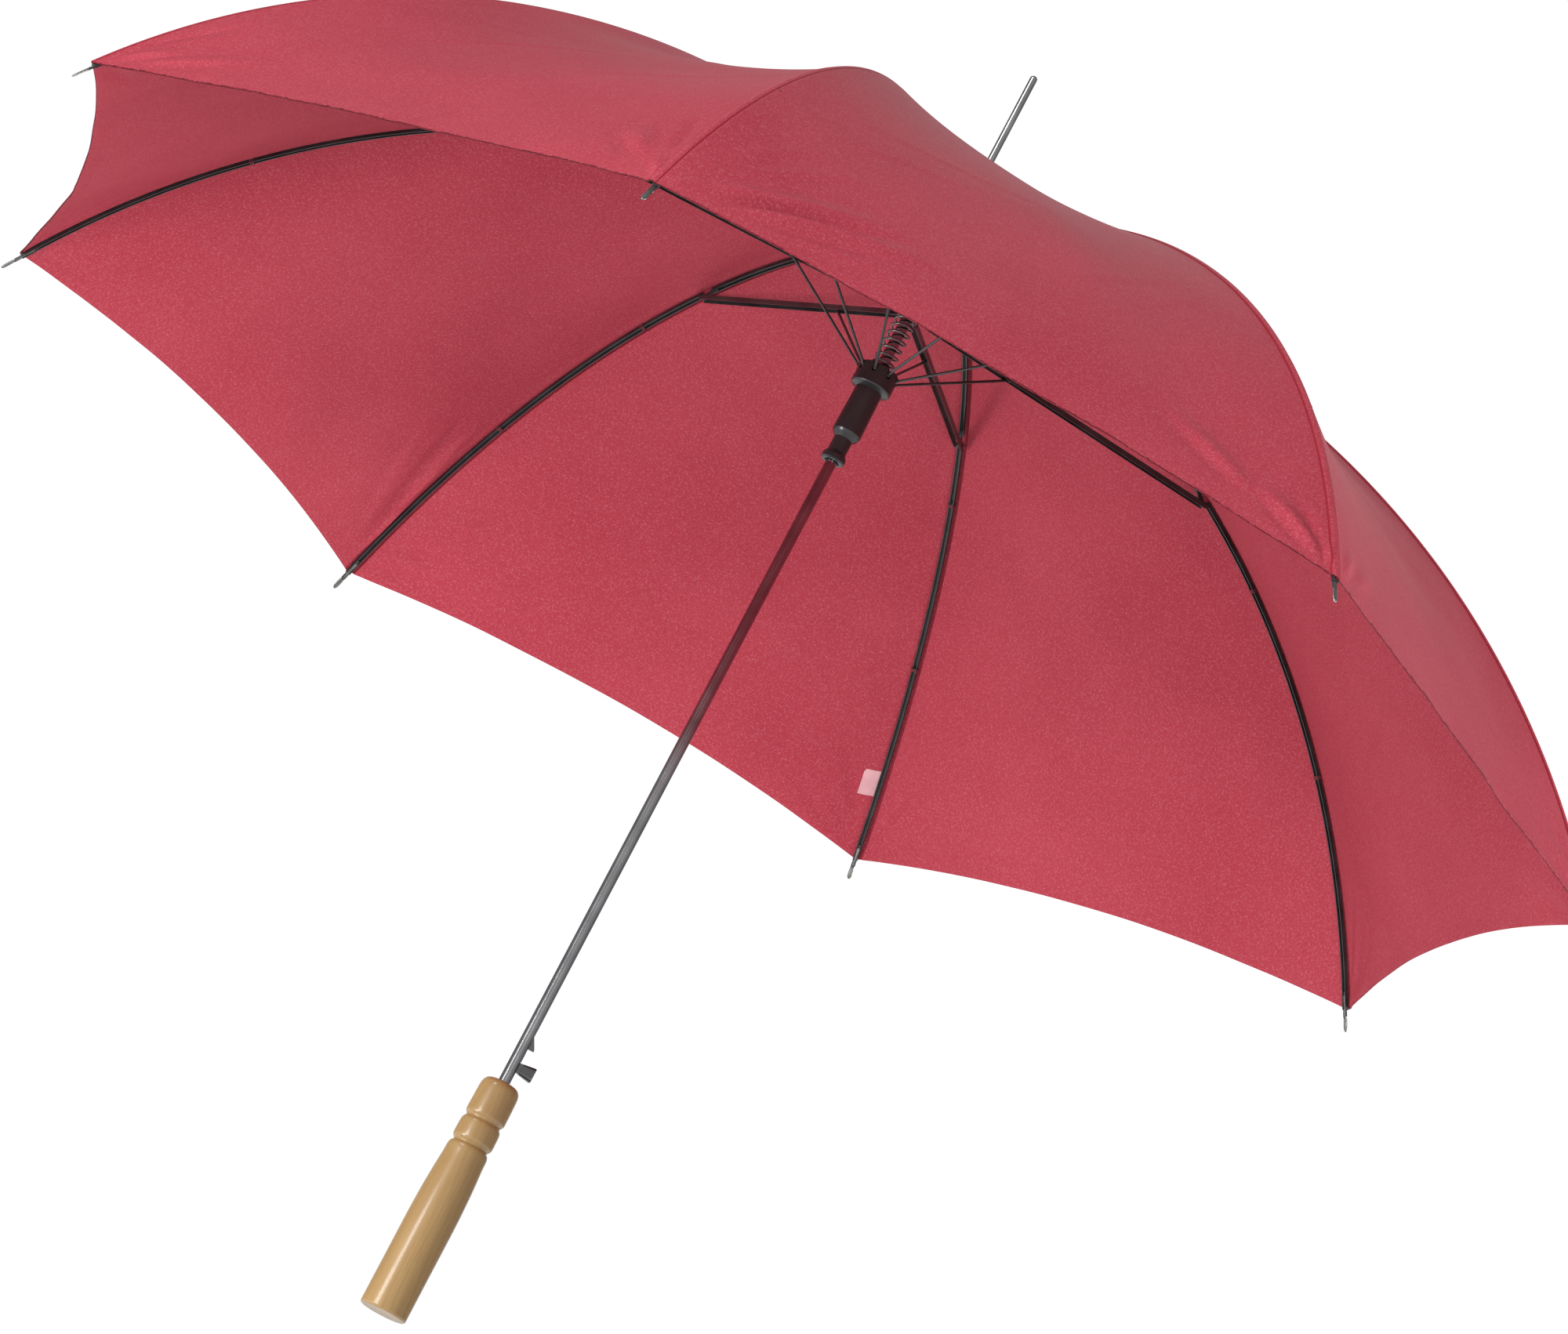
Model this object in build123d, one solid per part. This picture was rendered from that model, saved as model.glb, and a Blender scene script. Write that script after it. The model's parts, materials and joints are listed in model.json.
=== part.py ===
from build123d import *
import math
import os

# Stick umbrella, open, in millimetres.
# Origin: centre of the flat lower end of the handle. +Z runs up the shaft to the ferrule,
# +X points from the shaft to the push button.

# ---- driving dimensions -------------------------------------------------------------
RIB_COUNT = 8
STEP = 360 / RIB_COUNT
HALF = STEP / 2
FIRST_RIB = HALF                    # azimuth of rib 1, degrees

TOTAL_LENGTH = 846.5
HANDLE_LENGTH = 147.5
SHAFT_R = 3.5
SHAFT_WALL = 0.5
SHAFT_FOOT = 100.0                  # lower end of the tube, inside the handle
SHAFT_TOP = 733.0
FERRULE_R = 2.35
FERRULE_FOOT = 735.0

PIVOT_R = 7.5                       # radius of both wire rings that the ribs and stretchers hinge on
HINGE_Z = 719.5                     # height of the ribs' wire ring
JOINT_R, JOINT_Z = 248.0, 697.0     # rivet where the stretcher meets the rib
CROWN_Z = 2 * JOINT_Z - HINGE_Z     # height of the stretchers' wire ring
SHOULDER_R, SHOULDER_Z = 400.0, 612.5
TIP_R, TIP_Z = 515.0, 486.5         # where the cloth's corner is held
TIP_LENGTH = 14.0
JOINT_SLOPE = -19.5                 # heading of the rib at the rivet, degrees from horizontal
HEM_R = 463.0                       # distance of the hem from the axis, midway between two ribs

LINK_AT = 76.0                      # from the crown's ring to the link's rivet, along the stretcher
LINK_DROP = 0.9                     # that rivet below the stretcher's pivot line
LINK_R, LINK_Z = 11.0, 629.5        # inner end of the link, in the runner's flange
CLOSED_LEAN = 5.0                   # lean of the closed stretchers from the shaft, degrees

# ---- sections -----------------------------------------------------------------------
RIB_WIDTH, RIB_LOW, RIB_HIGH = 3.2, 1.4, 4.0        # channel, with its height above the pivot line
STRETCHER_WIDTH, STRETCHER_LOW, STRETCHER_HIGH = 5.2, -2.3, 0.9
STEEL = 0.5                         # wall of both channels
TAB = 1.2                           # thickness of the flattened ends
EYE_R = 1.5
RING_WIRE_R = 0.45
EYE_HOLE_R = 0.6
RIVET_R = 0.8
RIVET_HOLE_R = 0.85
LINK_RIVET_R, LINK_HOLE_R = 0.6, 0.66
EAR, EAR_OFFSET = 0.5, 1.35         # thickness and middle of the outer rib's two ears
LINK_WIRE_R = 0.85
LINK_END = 1.5                      # thickness of the link's flattened ends
CLOTH_LOW, CLOTH_HIGH = 5.0, 6.0    # the cloth's two faces above the pivot line
CLOTH_GAP = 0.15

CROWN_LOW, CROWN_HIGH = 2.2, 3.5    # the crown's disc below and above its wire ring
BORE_R = 3.8                        # sliding fit of the crown and the runner on the shaft
SEAT_GAP = 0.02                     # gap of the pieces that are fixed to the shaft
NECK_R = 5.2
RING_GROOVE = 1.1                   # height of the groove that takes a wire ring
HUB_R = 9.5
SLOT = 1.7
SLOT_FLOOR_R = 5.3

RUNNER_FLANGE_R = 12.7
RUNNER_BODY_R = 9.0
RUNNER_NECK_R = 5.8
RUNNER_RING_R = 7.5
RUNNER_BOTTOM, RUNNER_TOP = 568.5, 633.1
LEAD_IN = 0.9                       # bevel of the runner's lower mouth, which rides over the catch
LINK_SLOT = 2.6

SPRING_R = 6.4
SPRING_WIRE_R = 0.5
SPRING_TURNS = 5.8

BUTTON_Z = 159.2
BUTTON_FACE = (6.6, 8.6)            # width and height of the pressed face
BUTTON_STEM, BUTTON_BASE, BUTTON_RIM = 2.35, 5.2, 12.2     # distances of its steps from the axis
CATCH_PIVOT_Z = 132.0
CATCH_PIVOT_X = 1.9
CATCH_EYE_R = 0.85
CATCH_STRIP = (1.7, 2.3)            # inner and outer face of the strip, from the axis
CATCH_WIDTH = 1.9
CATCH_PIN_R, CATCH_HOLE_R = 0.5, 0.53
HOOK_LOW, HOOK_HIGH, HOOK_REACH = 171.5, 180.5, 7.0
HOOK_SLOT, BUTTON_SLOT = 2.6, 3.6   # widths of the tube's two slots

os.makedirs("parts", exist_ok=True)


# ---- the rib's pivot line: three tangent arcs in the radial plane ---------------------
def along(heading):
    return Vector(math.cos(math.radians(heading)), 0, math.sin(math.radians(heading)))


def outward(heading):
    return Vector(-math.sin(math.radians(heading)), 0, math.cos(math.radians(heading)))


def falling_arc(start, end, heading=None, end_heading=None):
    """Centre, radius and headings of the arc that falls from start to end."""
    chord = end - start
    slope = math.degrees(math.atan2(chord.Z, chord.X))
    if heading is None:
        heading = 2 * slope - end_heading
    radius = chord.length / 2 / math.sin(math.radians(heading - slope))
    return start - outward(heading) * radius, radius, heading, 2 * slope - heading


HINGE = Vector(PIVOT_R, 0, HINGE_Z)
JOINT = Vector(JOINT_R, 0, JOINT_Z)
CROWN_PIVOT = Vector(PIVOT_R, 0, CROWN_Z)
CATCH_PIVOT = Vector(CATCH_PIVOT_X, 0, CATCH_PIVOT_Z)
TIP = Vector(TIP_R, 0, TIP_Z)
INNER_ARC = falling_arc(HINGE, JOINT, end_heading=JOINT_SLOPE)
SHOULDER_ARC = falling_arc(JOINT, Vector(SHOULDER_R, 0, SHOULDER_Z), heading=JOINT_SLOPE)
TIP_ARC = falling_arc(Vector(SHOULDER_R, 0, SHOULDER_Z), TIP, heading=SHOULDER_ARC[3])
LINE = [INNER_ARC, SHOULDER_ARC, TIP_ARC]
START, END = INNER_ARC[2], TIP_ARC[3]


def on_line(heading, height=0.0):
    """Point of the pivot line with this heading, raised square to the line."""
    for centre, radius, first, last in LINE:
        if heading >= last - 1e-9:
            break
    return centre + outward(heading) * (radius + height)


def line_edges(first, last, height):
    """Arcs of the pivot line raised by height, from one heading to a lower one."""
    edges = []
    for centre, radius, begin, end in LINE:
        a, b = min(first, begin), max(last, end)
        if a - b > 1e-6:
            points = [centre + outward(h) * (radius + height) for h in (a, (a + b) / 2, b)]
            edges.append(ThreePointArc(*points))
    return edges


def strip(first, last, low, high, width):
    """Solid between two heights above the pivot line, centred on the radial plane."""
    upper = line_edges(first, last, high)
    lower = line_edges(first, last, low)
    ends = [Line(upper[0] @ 0, lower[0] @ 0), Line(upper[-1] @ 1, lower[-1] @ 1)]
    return extrude(make_face(upper + lower + ends), width / 2, dir=(0, 1, 0), both=True)


def plate(points, width):
    """Solid from an outline of (r, z) points, centred on the radial plane."""
    outline = Polyline(*[rz(r, z) for r, z in points], close=True)
    return extrude(make_face(outline), width / 2, dir=(0, 1, 0), both=True)


def round_bar(centre, radius, width):
    """Solid cylinder across the radial plane."""
    return Plane(centre, x_dir=(1, 0, 0), z_dir=(0, 1, 0)) * Cylinder(radius, width)


def rz(radius, height):
    return Vector(radius, 0, height)


def disc(radius, low, high):
    return Pos(0, 0, low) * Cylinder(radius, high - low, align=(Align.CENTER, Align.CENTER, Align.MIN))


def block(x, y, z):
    """Box from (low, high) pairs."""
    size = [pair[1] - pair[0] for pair in (x, y, z)]
    return Pos(x[0], y[0], z[0]) * Box(*size, align=(Align.MIN, Align.MIN, Align.MIN))


def one(shape, name):
    """The single solid of a boolean's result."""
    found = shape.solids()
    if len(found) != 1:
        print("note:", name, "has", len(found), "solids")
    return found[0]


def radial_slots(width, floor, low, high, azimuth=FIRST_RIB):
    """Cutters for one open slot on each rib's azimuth."""
    cutter = block((floor, 40), (-width / 2, width / 2), (low, high))
    return [Rot(0, 0, azimuth + STEP * n) * cutter for n in range(RIB_COUNT)]


# ---- shaft, handle, ferrule -----------------------------------------------------------
def make_shaft():
    tube = disc(SHAFT_R, SHAFT_FOOT, SHAFT_TOP) - disc(SHAFT_R - SHAFT_WALL, SHAFT_FOOT, SHAFT_TOP)
    tube -= block((0, 6), (-HOOK_SLOT / 2, HOOK_SLOT / 2), (HOOK_LOW - 2.5, HOOK_HIGH + 2.5))
    tube -= block((0, 6), (-BUTTON_SLOT / 2, BUTTON_SLOT / 2), (BUTTON_Z - 3.6, BUTTON_Z + 3.6))
    tube -= round_bar(CATCH_PIVOT, CATCH_PIN_R, 4 * SHAFT_R)
    pin = round_bar(CATCH_PIVOT, CATCH_PIN_R, 4.6)
    return [one(tube, "shaft"), one(pin, "catch pin")]


def make_handle():
    """Turned grip: straight lower part, taper, two grooves and a domed top."""
    outline = [
        Line(rz(0, 0), rz(12.9, 0)),
        ThreePointArc(rz(12.9, 0), rz(13.82, 0.38), rz(14.2, 1.3)),
        Line(rz(14.2, 1.3), rz(14.2, 58)),
        Spline(rz(14.2, 58), rz(13.6, 80), rz(12.6, 97), tangents=[rz(0, 1), rz(-0.07, 1)]),
        Line(rz(12.6, 97), rz(12.45, 102)),
        ThreePointArc(rz(12.45, 102), rz(12.0, 104.4), rz(10.9, 105.6)),
        ThreePointArc(rz(10.9, 105.6), rz(10.6, 106.6), rz(10.9, 107.6)),
        ThreePointArc(rz(10.9, 107.6), rz(11.9, 108.6), rz(12.35, 110.4)),
        Line(rz(12.35, 110.4), rz(12.15, 118.6)),
        ThreePointArc(rz(12.15, 118.6), rz(11.7, 120.4), rz(10.9, 121.4)),
        ThreePointArc(rz(10.9, 121.4), rz(10.65, 122.4), rz(10.9, 123.4)),
        ThreePointArc(rz(10.9, 123.4), rz(11.8, 124.4), rz(12.15, 126.4)),
        Line(rz(12.15, 126.4), rz(11.85, 141.0)),
        ThreePointArc(rz(11.85, 141.0), rz(10.9, 145.4), rz(7.4, HANDLE_LENGTH)),
        Line(rz(7.4, HANDLE_LENGTH), rz(0, HANDLE_LENGTH)),
        Line(rz(0, HANDLE_LENGTH), rz(0, 0)),
    ]
    grip = revolve(make_face(outline), Axis.Z)
    grip -= disc(SHAFT_R + SEAT_GAP, SHAFT_FOOT - 0.3, HANDLE_LENGTH + 1)
    return [one(grip, "handle")]


def make_ferrule():
    """Thin chrome end tube with a domed end and a short base collar."""
    rod = disc(FERRULE_R, FERRULE_FOOT, TOTAL_LENGTH)
    rod = fillet(rod.edges().filter_by(GeomType.CIRCLE).sort_by(Axis.Z)[-1], FERRULE_R * 0.9)
    plug = disc(SHAFT_R - SHAFT_WALL - SEAT_GAP, SHAFT_TOP - 12, SHAFT_TOP + 0.5)
    base = chamfer(disc(SHAFT_R + 0.4, SHAFT_TOP + SEAT_GAP, SHAFT_TOP + 5).edges().sort_by(Axis.Z)[-1], 1.2)
    return [one(rod + plug + base, "ferrule")]


# ---- top notch, crown, wires ------------------------------------------------------------
def slotted_hub(ring_z, low, high, bore):
    """Disc with a slot for each rib and a groove that holds the wire ring."""
    hub = disc(HUB_R, ring_z - low, ring_z + high)
    hub = chamfer(hub.edges().filter_by(GeomType.CIRCLE), 0.6)
    groove = disc(HUB_R + 1, ring_z - RING_GROOVE / 2, ring_z + RING_GROOVE / 2)
    groove -= disc(PIVOT_R - RING_GROOVE / 2, ring_z - RING_GROOVE, ring_z + RING_GROOVE)
    hub -= groove
    hub -= disc(bore, ring_z - 20, ring_z + 20)
    return hub - radial_slots(SLOT, SLOT_FLOOR_R, ring_z - 20, ring_z + 20)


def make_top_notch():
    neck = disc(NECK_R, HINGE_Z + 3.9, HINGE_Z + 9) - disc(SHAFT_R + SEAT_GAP, HINGE_Z, HINGE_Z + 20)
    return [one(slotted_hub(HINGE_Z, 4, 4, SHAFT_R + SEAT_GAP) + neck, "top_notch")]


def make_crown():
    seat = disc(NECK_R, CROWN_Z - 5.5, CROWN_Z - CROWN_LOW + 0.1) - disc(BORE_R, CROWN_Z - 8, CROWN_Z)
    return [one(slotted_hub(CROWN_Z, CROWN_LOW, CROWN_HIGH, BORE_R) + seat, "crown")]


def make_ring_wire(ring_z):
    return [Pos(0, 0, ring_z) * Torus(PIVOT_R, RING_WIRE_R).solid()]


# ---- runner and its spring ---------------------------------------------------------------
def make_runner():
    """Moulded slider: slotted flange, body, neck with the catch window, pull ring."""
    outline = [
        (BORE_R + LEAD_IN, RUNNER_BOTTOM), (RUNNER_RING_R - 0.8, RUNNER_BOTTOM),
        (RUNNER_RING_R, RUNNER_BOTTOM + 0.8),
        (RUNNER_RING_R, RUNNER_BOTTOM + 3.6), (RUNNER_NECK_R, RUNNER_BOTTOM + 6.4),
        (RUNNER_NECK_R, RUNNER_BOTTOM + 15.5), (RUNNER_BODY_R - 0.8, RUNNER_BOTTOM + 18.2),
        (RUNNER_BODY_R, RUNNER_BOTTOM + 19.6), (RUNNER_BODY_R - 0.6, 618.2), (RUNNER_FLANGE_R - 0.6, 619.4),
        (RUNNER_FLANGE_R, 620.2), (RUNNER_FLANGE_R, RUNNER_TOP - 0.7), (RUNNER_FLANGE_R - 0.7, RUNNER_TOP),
        (5.4, RUNNER_TOP), (5.0, RUNNER_TOP + 2.4), (BORE_R, RUNNER_TOP + 2.4),
        (BORE_R, RUNNER_BOTTOM + 1.8 * LEAD_IN),
    ]
    section = make_face(Polyline(*[rz(r, z) for r, z in outline], close=True))
    runner = revolve(section, Axis.Z)
    runner -= radial_slots(LINK_SLOT, 8.9, LINK_Z - 2.6, RUNNER_TOP + 1)
    window_low = HOOK_LOW - RUNNER_TRAVEL - 0.7
    runner -= block((0, 10), (-1.5, 1.5), (window_low, window_low + 12.5))
    return [one(runner, "runner")]


def make_main_spring():
    low = RUNNER_TOP + SPRING_WIRE_R + 0.3
    high = CROWN_Z - CROWN_LOW - SPRING_WIRE_R - 0.3
    pitch = (high - low) / SPRING_TURNS
    helix = Helix(pitch, high - low, SPRING_R, center=(0, 0, low))
    section = Plane(helix @ 0, z_dir=helix % 0) * Circle(SPRING_WIRE_R)
    return [one(sweep(section, path=helix, is_frenet=True), "main_spring")]


# ---- ribs, stretchers, links: all drawn on azimuth 0 -----------------------------------------
def make_rib_inner():
    """Channel from the top notch to the rivet, with an eye and a rivet bracket."""
    body = strip(START - 1.6, JOINT_SLOPE + 0.9, RIB_LOW, RIB_HIGH, RIB_WIDTH)
    body -= strip(START - 1.6, JOINT_SLOPE + 0.9, RIB_LOW - 1, RIB_HIGH - STEEL, RIB_WIDTH - 2 * STEEL)
    root, low = on_line(START - 3.0, RIB_HIGH - 0.2), on_line(START - 3.0, RIB_LOW)
    eye = [(PIVOT_R, HINGE_Z - EYE_R), (PIVOT_R, HINGE_Z + EYE_R)]
    tab = plate(eye + [(root.X, root.Z), (low.X, low.Z)], TAB)
    tab += round_bar(HINGE, EYE_R, TAB)
    back = on_line(JOINT_SLOPE + 0.95, RIB_HIGH - 0.2)
    foot = on_line(JOINT_SLOPE + 1.5, RIB_LOW + 0.4)
    bracket = plate([(back.X, back.Z), (foot.X, foot.Z), (JOINT_R - 1.6, JOINT_Z - 0.4),
                     (JOINT_R + 0.6, JOINT_Z + 1.2)], TAB)
    bracket += round_bar(JOINT, 1.7, TAB)
    rib = body + tab + bracket
    rib -= round_bar(HINGE, EYE_HOLE_R, 10)
    rib -= round_bar(JOINT, RIVET_HOLE_R, 10)
    return [one(rib, "rib_inner")]


def make_rib_outer():
    """Channel from the rivet to the cloth's corner, and the metal tip it carries."""
    body = strip(JOINT_SLOPE - 0.15, END, RIB_LOW, RIB_HIGH, RIB_WIDTH)
    body -= strip(JOINT_SLOPE - 0.15, END, RIB_LOW - 1, RIB_HIGH - STEEL, RIB_WIDTH - 2 * STEEL)
    low = on_line(JOINT_SLOPE - 0.6, RIB_LOW)
    foot = on_line(JOINT_SLOPE - 0.2, RIB_LOW)
    ears = []
    for side in (1, -1):
        ear = plate([(foot.X, foot.Z + 0.6), (JOINT_R - 1.2, JOINT_Z - 0.4), (JOINT_R + 1.4, JOINT_Z - 0.6),
                     (low.X, low.Z + 0.8)], EAR)
        ear += round_bar(JOINT, 1.6, EAR)
        ear -= round_bar(JOINT, RIVET_HOLE_R, 10)
        ears.append(Pos(0, side * EAR_OFFSET, 0) * ear)
    middle = (RIB_LOW + RIB_HIGH) / 2 - 0.2
    base = on_line(END + 1.2, middle)
    tip_plane = Plane(base, x_dir=along(END), z_dir=outward(END))
    reach = TIP_LENGTH + 3
    paddle = [(0, 0.8), (reach * 0.4, 0.7), (reach * 0.6, 1.25), (reach * 0.92, 1.4), (reach, 0.9)]
    outline = Polyline(*(paddle + [(x, -y) for x, y in reversed(paddle)]), close=True)
    tip = extrude(tip_plane * make_face(outline), 0.5, both=True)
    rib = body + ears
    return [one(rib, "rib_outer"), one(tip - body, "tip")]


def stretcher_point(distance, height=0.0):
    """Point on the stretcher's pivot line, from the crown's ring, raised square to it."""
    line = (JOINT - CROWN_PIVOT).normalized()
    return CROWN_PIVOT + line * distance + Vector(-line.Z, 0, line.X) * height


def make_stretcher():
    """Channel that opens downwards, from the crown's ring to the rib's rivet."""
    whole = (JOINT - CROWN_PIVOT).length
    first, last = 10.5, whole + 1.4

    def bar(a, b, low, high, width):
        corners = [stretcher_point(a, low), stretcher_point(a, high), stretcher_point(b, high),
                   stretcher_point(b, low)]
        return plate([(p.X, p.Z) for p in corners], width)

    body = bar(first, last, STRETCHER_LOW, STRETCHER_HIGH, STRETCHER_WIDTH)
    body -= bar(first - 1, last + 1, STRETCHER_LOW - 1, STRETCHER_HIGH - STEEL, STRETCHER_WIDTH - 2 * STEEL)
    body -= bar(whole - 9, last + 1, STRETCHER_LOW - 1, STRETCHER_HIGH + 1, RIB_WIDTH + 0.9)
    body += bar(0, first + 4, -EYE_R, STRETCHER_HIGH - 0.2, TAB)
    body += round_bar(CROWN_PIVOT, EYE_R, TAB)
    body -= round_bar(CROWN_PIVOT, EYE_HOLE_R, 10)
    rivet = round_bar(JOINT, RIVET_R, STRETCHER_WIDTH + 0.6)
    link_rivet = round_bar(stretcher_point(LINK_AT, -LINK_DROP), LINK_RIVET_R, STRETCHER_WIDTH + 0.4)
    return [one(body + rivet + link_rivet, "stretcher")]


def make_link():
    """Wire from the stretcher's rivet to the runner's flange, with flattened ends."""
    top = stretcher_point(LINK_AT, -LINK_DROP)
    foot = Vector(LINK_R, 0, LINK_Z)
    line = (top - foot).normalized()
    wire = extrude(Plane(foot + line * 2.5, z_dir=line) * Circle(LINK_WIRE_R), (top - foot).length - 5)
    link = wire + [round_bar(top, 1.25, LINK_END), round_bar(foot, EYE_R, LINK_END)]
    for end, sign in ((top, -1), (foot, 1)):
        inner = end + line * sign * 3.4
        half_wide = Vector(-line.Z, 0, line.X) * 0.8
        corners = [end + half_wide, end - half_wide, inner - half_wide, inner + half_wide]
        link += plate([(p.X, p.Z) for p in corners], LINK_END)
    return [one(link - round_bar(top, LINK_HOLE_R, 10), "link")]


# ---- cloth -------------------------------------------------------------------------------------
def make_cloth():
    """Inner and outer panel of one rib: half of the gore on each side of it."""
    shrink = math.cos(math.radians(HALF))
    headings = [START + (END - START) * n / 9 for n in range(10)]
    upper = [on_line(h, CLOTH_HIGH) for h in headings]
    lower = [on_line(h, CLOTH_LOW) for h in headings]
    upper, lower = [[Vector(p.X * shrink, 0, p.Z) for p in row] for row in (upper, lower)]
    edges = [Spline(*upper), Spline(*lower), Line(upper[0], lower[0]), Line(upper[-1], lower[-1])]
    gore = extrude(make_face(edges), 230, dir=(0, 1, 0), both=True)

    corner = Vector(TIP_R * shrink, -TIP_R * math.sin(math.radians(HALF)))
    sag = corner.X - HEM_R
    hem_radius = (corner.Y ** 2 + sag ** 2) / (2 * sag)

    def hem(y):
        return Vector(HEM_R + hem_radius - math.sqrt(hem_radius ** 2 - y ** 2), y)

    start = Vector(PIVOT_R * shrink, -PIVOT_R * math.sin(math.radians(HALF)))
    plan = [
        Line(start, corner),
        ThreePointArc(corner, hem(corner.Y / 2), hem(-CLOTH_GAP)),
        Line(hem(-CLOTH_GAP), (PIVOT_R, -CLOTH_GAP)),
        Line((PIVOT_R, -CLOTH_GAP), start),
    ]
    prism = Pos(0, 0, TIP_Z - 40) * extrude(make_face(plan), HINGE_Z - TIP_Z + 80)
    half = Rot(0, 0, HALF) * one(gore & prism, "half gore")
    panel = half + mirror(half, about=Plane.XZ)
    seam = Plane(JOINT, x_dir=outward(JOINT_SLOPE), z_dir=along(JOINT_SLOPE))
    inner = split(panel, seam.offset(-CLOTH_GAP), keep=Keep.BOTTOM)
    outer = split(panel, seam.offset(CLOTH_GAP), keep=Keep.TOP)
    return [one(inner, "canopy_inner")], [one(outer, "canopy_outer")]


def make_top_cap():
    """Small cloth rosette and its gathered collar, over the canopy's centre."""
    low = on_line(START - 1.0, CLOTH_HIGH + 0.5)
    outline = [(5.6, HINGE_Z + 6.2), (16, low.Z + 1.0), (16.4, low.Z + 1.8), (6.9, HINGE_Z + 7.6),
               (5.9, SHAFT_TOP - 0.6), (5.6, SHAFT_TOP - 0.6)]
    return [one(revolve(make_face(Polyline(*[rz(r, z) for r, z in outline], close=True)), Axis.Z),
                "top_cap")]


# ---- push button and catch ------------------------------------------------------------------------
def make_push_button():
    """Flared button whose stem passes through the tube's slot."""
    base, rim = [Plane((x, 0, BUTTON_Z), x_dir=(0, 1, 0), z_dir=(1, 0, 0)) * RectangleRounded(*size, corner)
                 for x, size, corner in ((BUTTON_BASE, (4.4, 6.6), 1.2), (BUTTON_RIM, BUTTON_FACE, 1.8))]
    stem = block((BUTTON_STEM, BUTTON_BASE + 1), (-1.5, 1.5), (BUTTON_Z - 3.0, BUTTON_Z + 3.0))
    button = stem + loft([base, rim]) + extrude(rim, 0.9)
    return [one(button, "push_button")]


def make_catch():
    """Steel strip on a pin inside the tube, with the triangular hook that holds the runner."""
    back, front = CATCH_STRIP
    bar = block(CATCH_STRIP, (-CATCH_WIDTH / 2, CATCH_WIDTH / 2), (CATCH_PIVOT_Z, HOOK_HIGH + 0.8))
    hook = plate([(back + 0.1, HOOK_LOW), (HOOK_REACH, HOOK_LOW), (HOOK_REACH - 0.2, HOOK_LOW + 1.2),
                  (front, HOOK_HIGH + 0.6), (back + 0.1, HOOK_HIGH + 0.6)], 1.4)
    catch = bar + hook + round_bar(CATCH_PIVOT, CATCH_EYE_R, CATCH_WIDTH)
    return [one(catch - round_bar(CATCH_PIVOT, CATCH_HOLE_R, 10), "catch")]


# ---- kinematics used for the runner's window ---------------------------------------------------------
def runner_travel():
    """Distance that the runner moves down when the umbrella closes."""
    reach = (JOINT - HINGE).length
    crown = HINGE_Z - 2 * reach * math.cos(math.radians(CLOSED_LEAN))
    top = stretcher_point(LINK_AT, -LINK_DROP)
    link = (top - Vector(LINK_R, 0, LINK_Z)).length
    lean = math.radians(CLOSED_LEAN)
    closed_top = Vector(PIVOT_R + LINK_AT * math.sin(lean) + LINK_DROP * math.cos(lean), 0,
                        crown + LINK_AT * math.cos(lean) - LINK_DROP * math.sin(lean))
    closed_foot = closed_top.Z - math.sqrt(link ** 2 - (closed_top.X - LINK_R) ** 2)
    return closed_foot - LINK_Z


RUNNER_TRAVEL = runner_travel()


# ---- write every node ------------------------------------------------------------------------------------
def save(name, solids):
    shape = solids[0] if len(solids) == 1 else Compound(children=solids)
    export_step(shape, os.path.join("parts", name + ".step"))


save("shaft", make_shaft())
save("handle", make_handle())
save("ferrule", make_ferrule())
save("top_notch", make_top_notch())
save("notch_wire", make_ring_wire(HINGE_Z))
save("crown", make_crown())
save("crown_wire", make_ring_wire(CROWN_Z))
save("runner", make_runner())
save("main_spring", make_main_spring())
save("top_cap", make_top_cap())
save("push_button", make_push_button())
save("catch", make_catch())

canopy_inner, canopy_outer = make_cloth()
REPEATED = {
    "rib_inner": make_rib_inner(),
    "rib_outer": make_rib_outer(),
    "stretcher": make_stretcher(),
    "link": make_link(),
    "canopy_inner": canopy_inner,
    "canopy_outer": canopy_outer,
}
for name, solids in REPEATED.items():
    for n in range(RIB_COUNT):
        turn = Rot(0, 0, FIRST_RIB + STEP * n)
        save(f"{name}_{n + 1}", [turn * solid for solid in solids])

print("runner travel", round(RUNNER_TRAVEL, 3))
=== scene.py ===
import json
import math

import bpy
import numpy as np
from mathutils import Matrix, Vector


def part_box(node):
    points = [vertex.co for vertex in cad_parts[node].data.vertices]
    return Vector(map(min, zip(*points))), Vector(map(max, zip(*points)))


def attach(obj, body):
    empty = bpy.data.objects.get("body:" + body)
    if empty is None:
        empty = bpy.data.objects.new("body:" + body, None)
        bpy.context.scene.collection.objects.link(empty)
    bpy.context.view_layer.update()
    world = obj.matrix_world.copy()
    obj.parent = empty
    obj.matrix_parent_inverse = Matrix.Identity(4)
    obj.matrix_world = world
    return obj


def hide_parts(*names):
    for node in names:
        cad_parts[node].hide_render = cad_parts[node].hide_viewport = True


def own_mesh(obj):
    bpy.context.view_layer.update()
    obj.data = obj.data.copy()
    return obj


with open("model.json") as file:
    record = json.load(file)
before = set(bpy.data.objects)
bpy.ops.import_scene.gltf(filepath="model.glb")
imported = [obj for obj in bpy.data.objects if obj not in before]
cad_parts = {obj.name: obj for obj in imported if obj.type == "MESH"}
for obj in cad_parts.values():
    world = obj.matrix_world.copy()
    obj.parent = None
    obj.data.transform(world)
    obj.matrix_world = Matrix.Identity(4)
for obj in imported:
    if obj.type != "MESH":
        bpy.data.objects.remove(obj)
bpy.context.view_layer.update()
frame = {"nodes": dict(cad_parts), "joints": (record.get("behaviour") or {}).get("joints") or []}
JOINTS = {joint["name"]: joint for joint in frame["joints"]}

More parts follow.
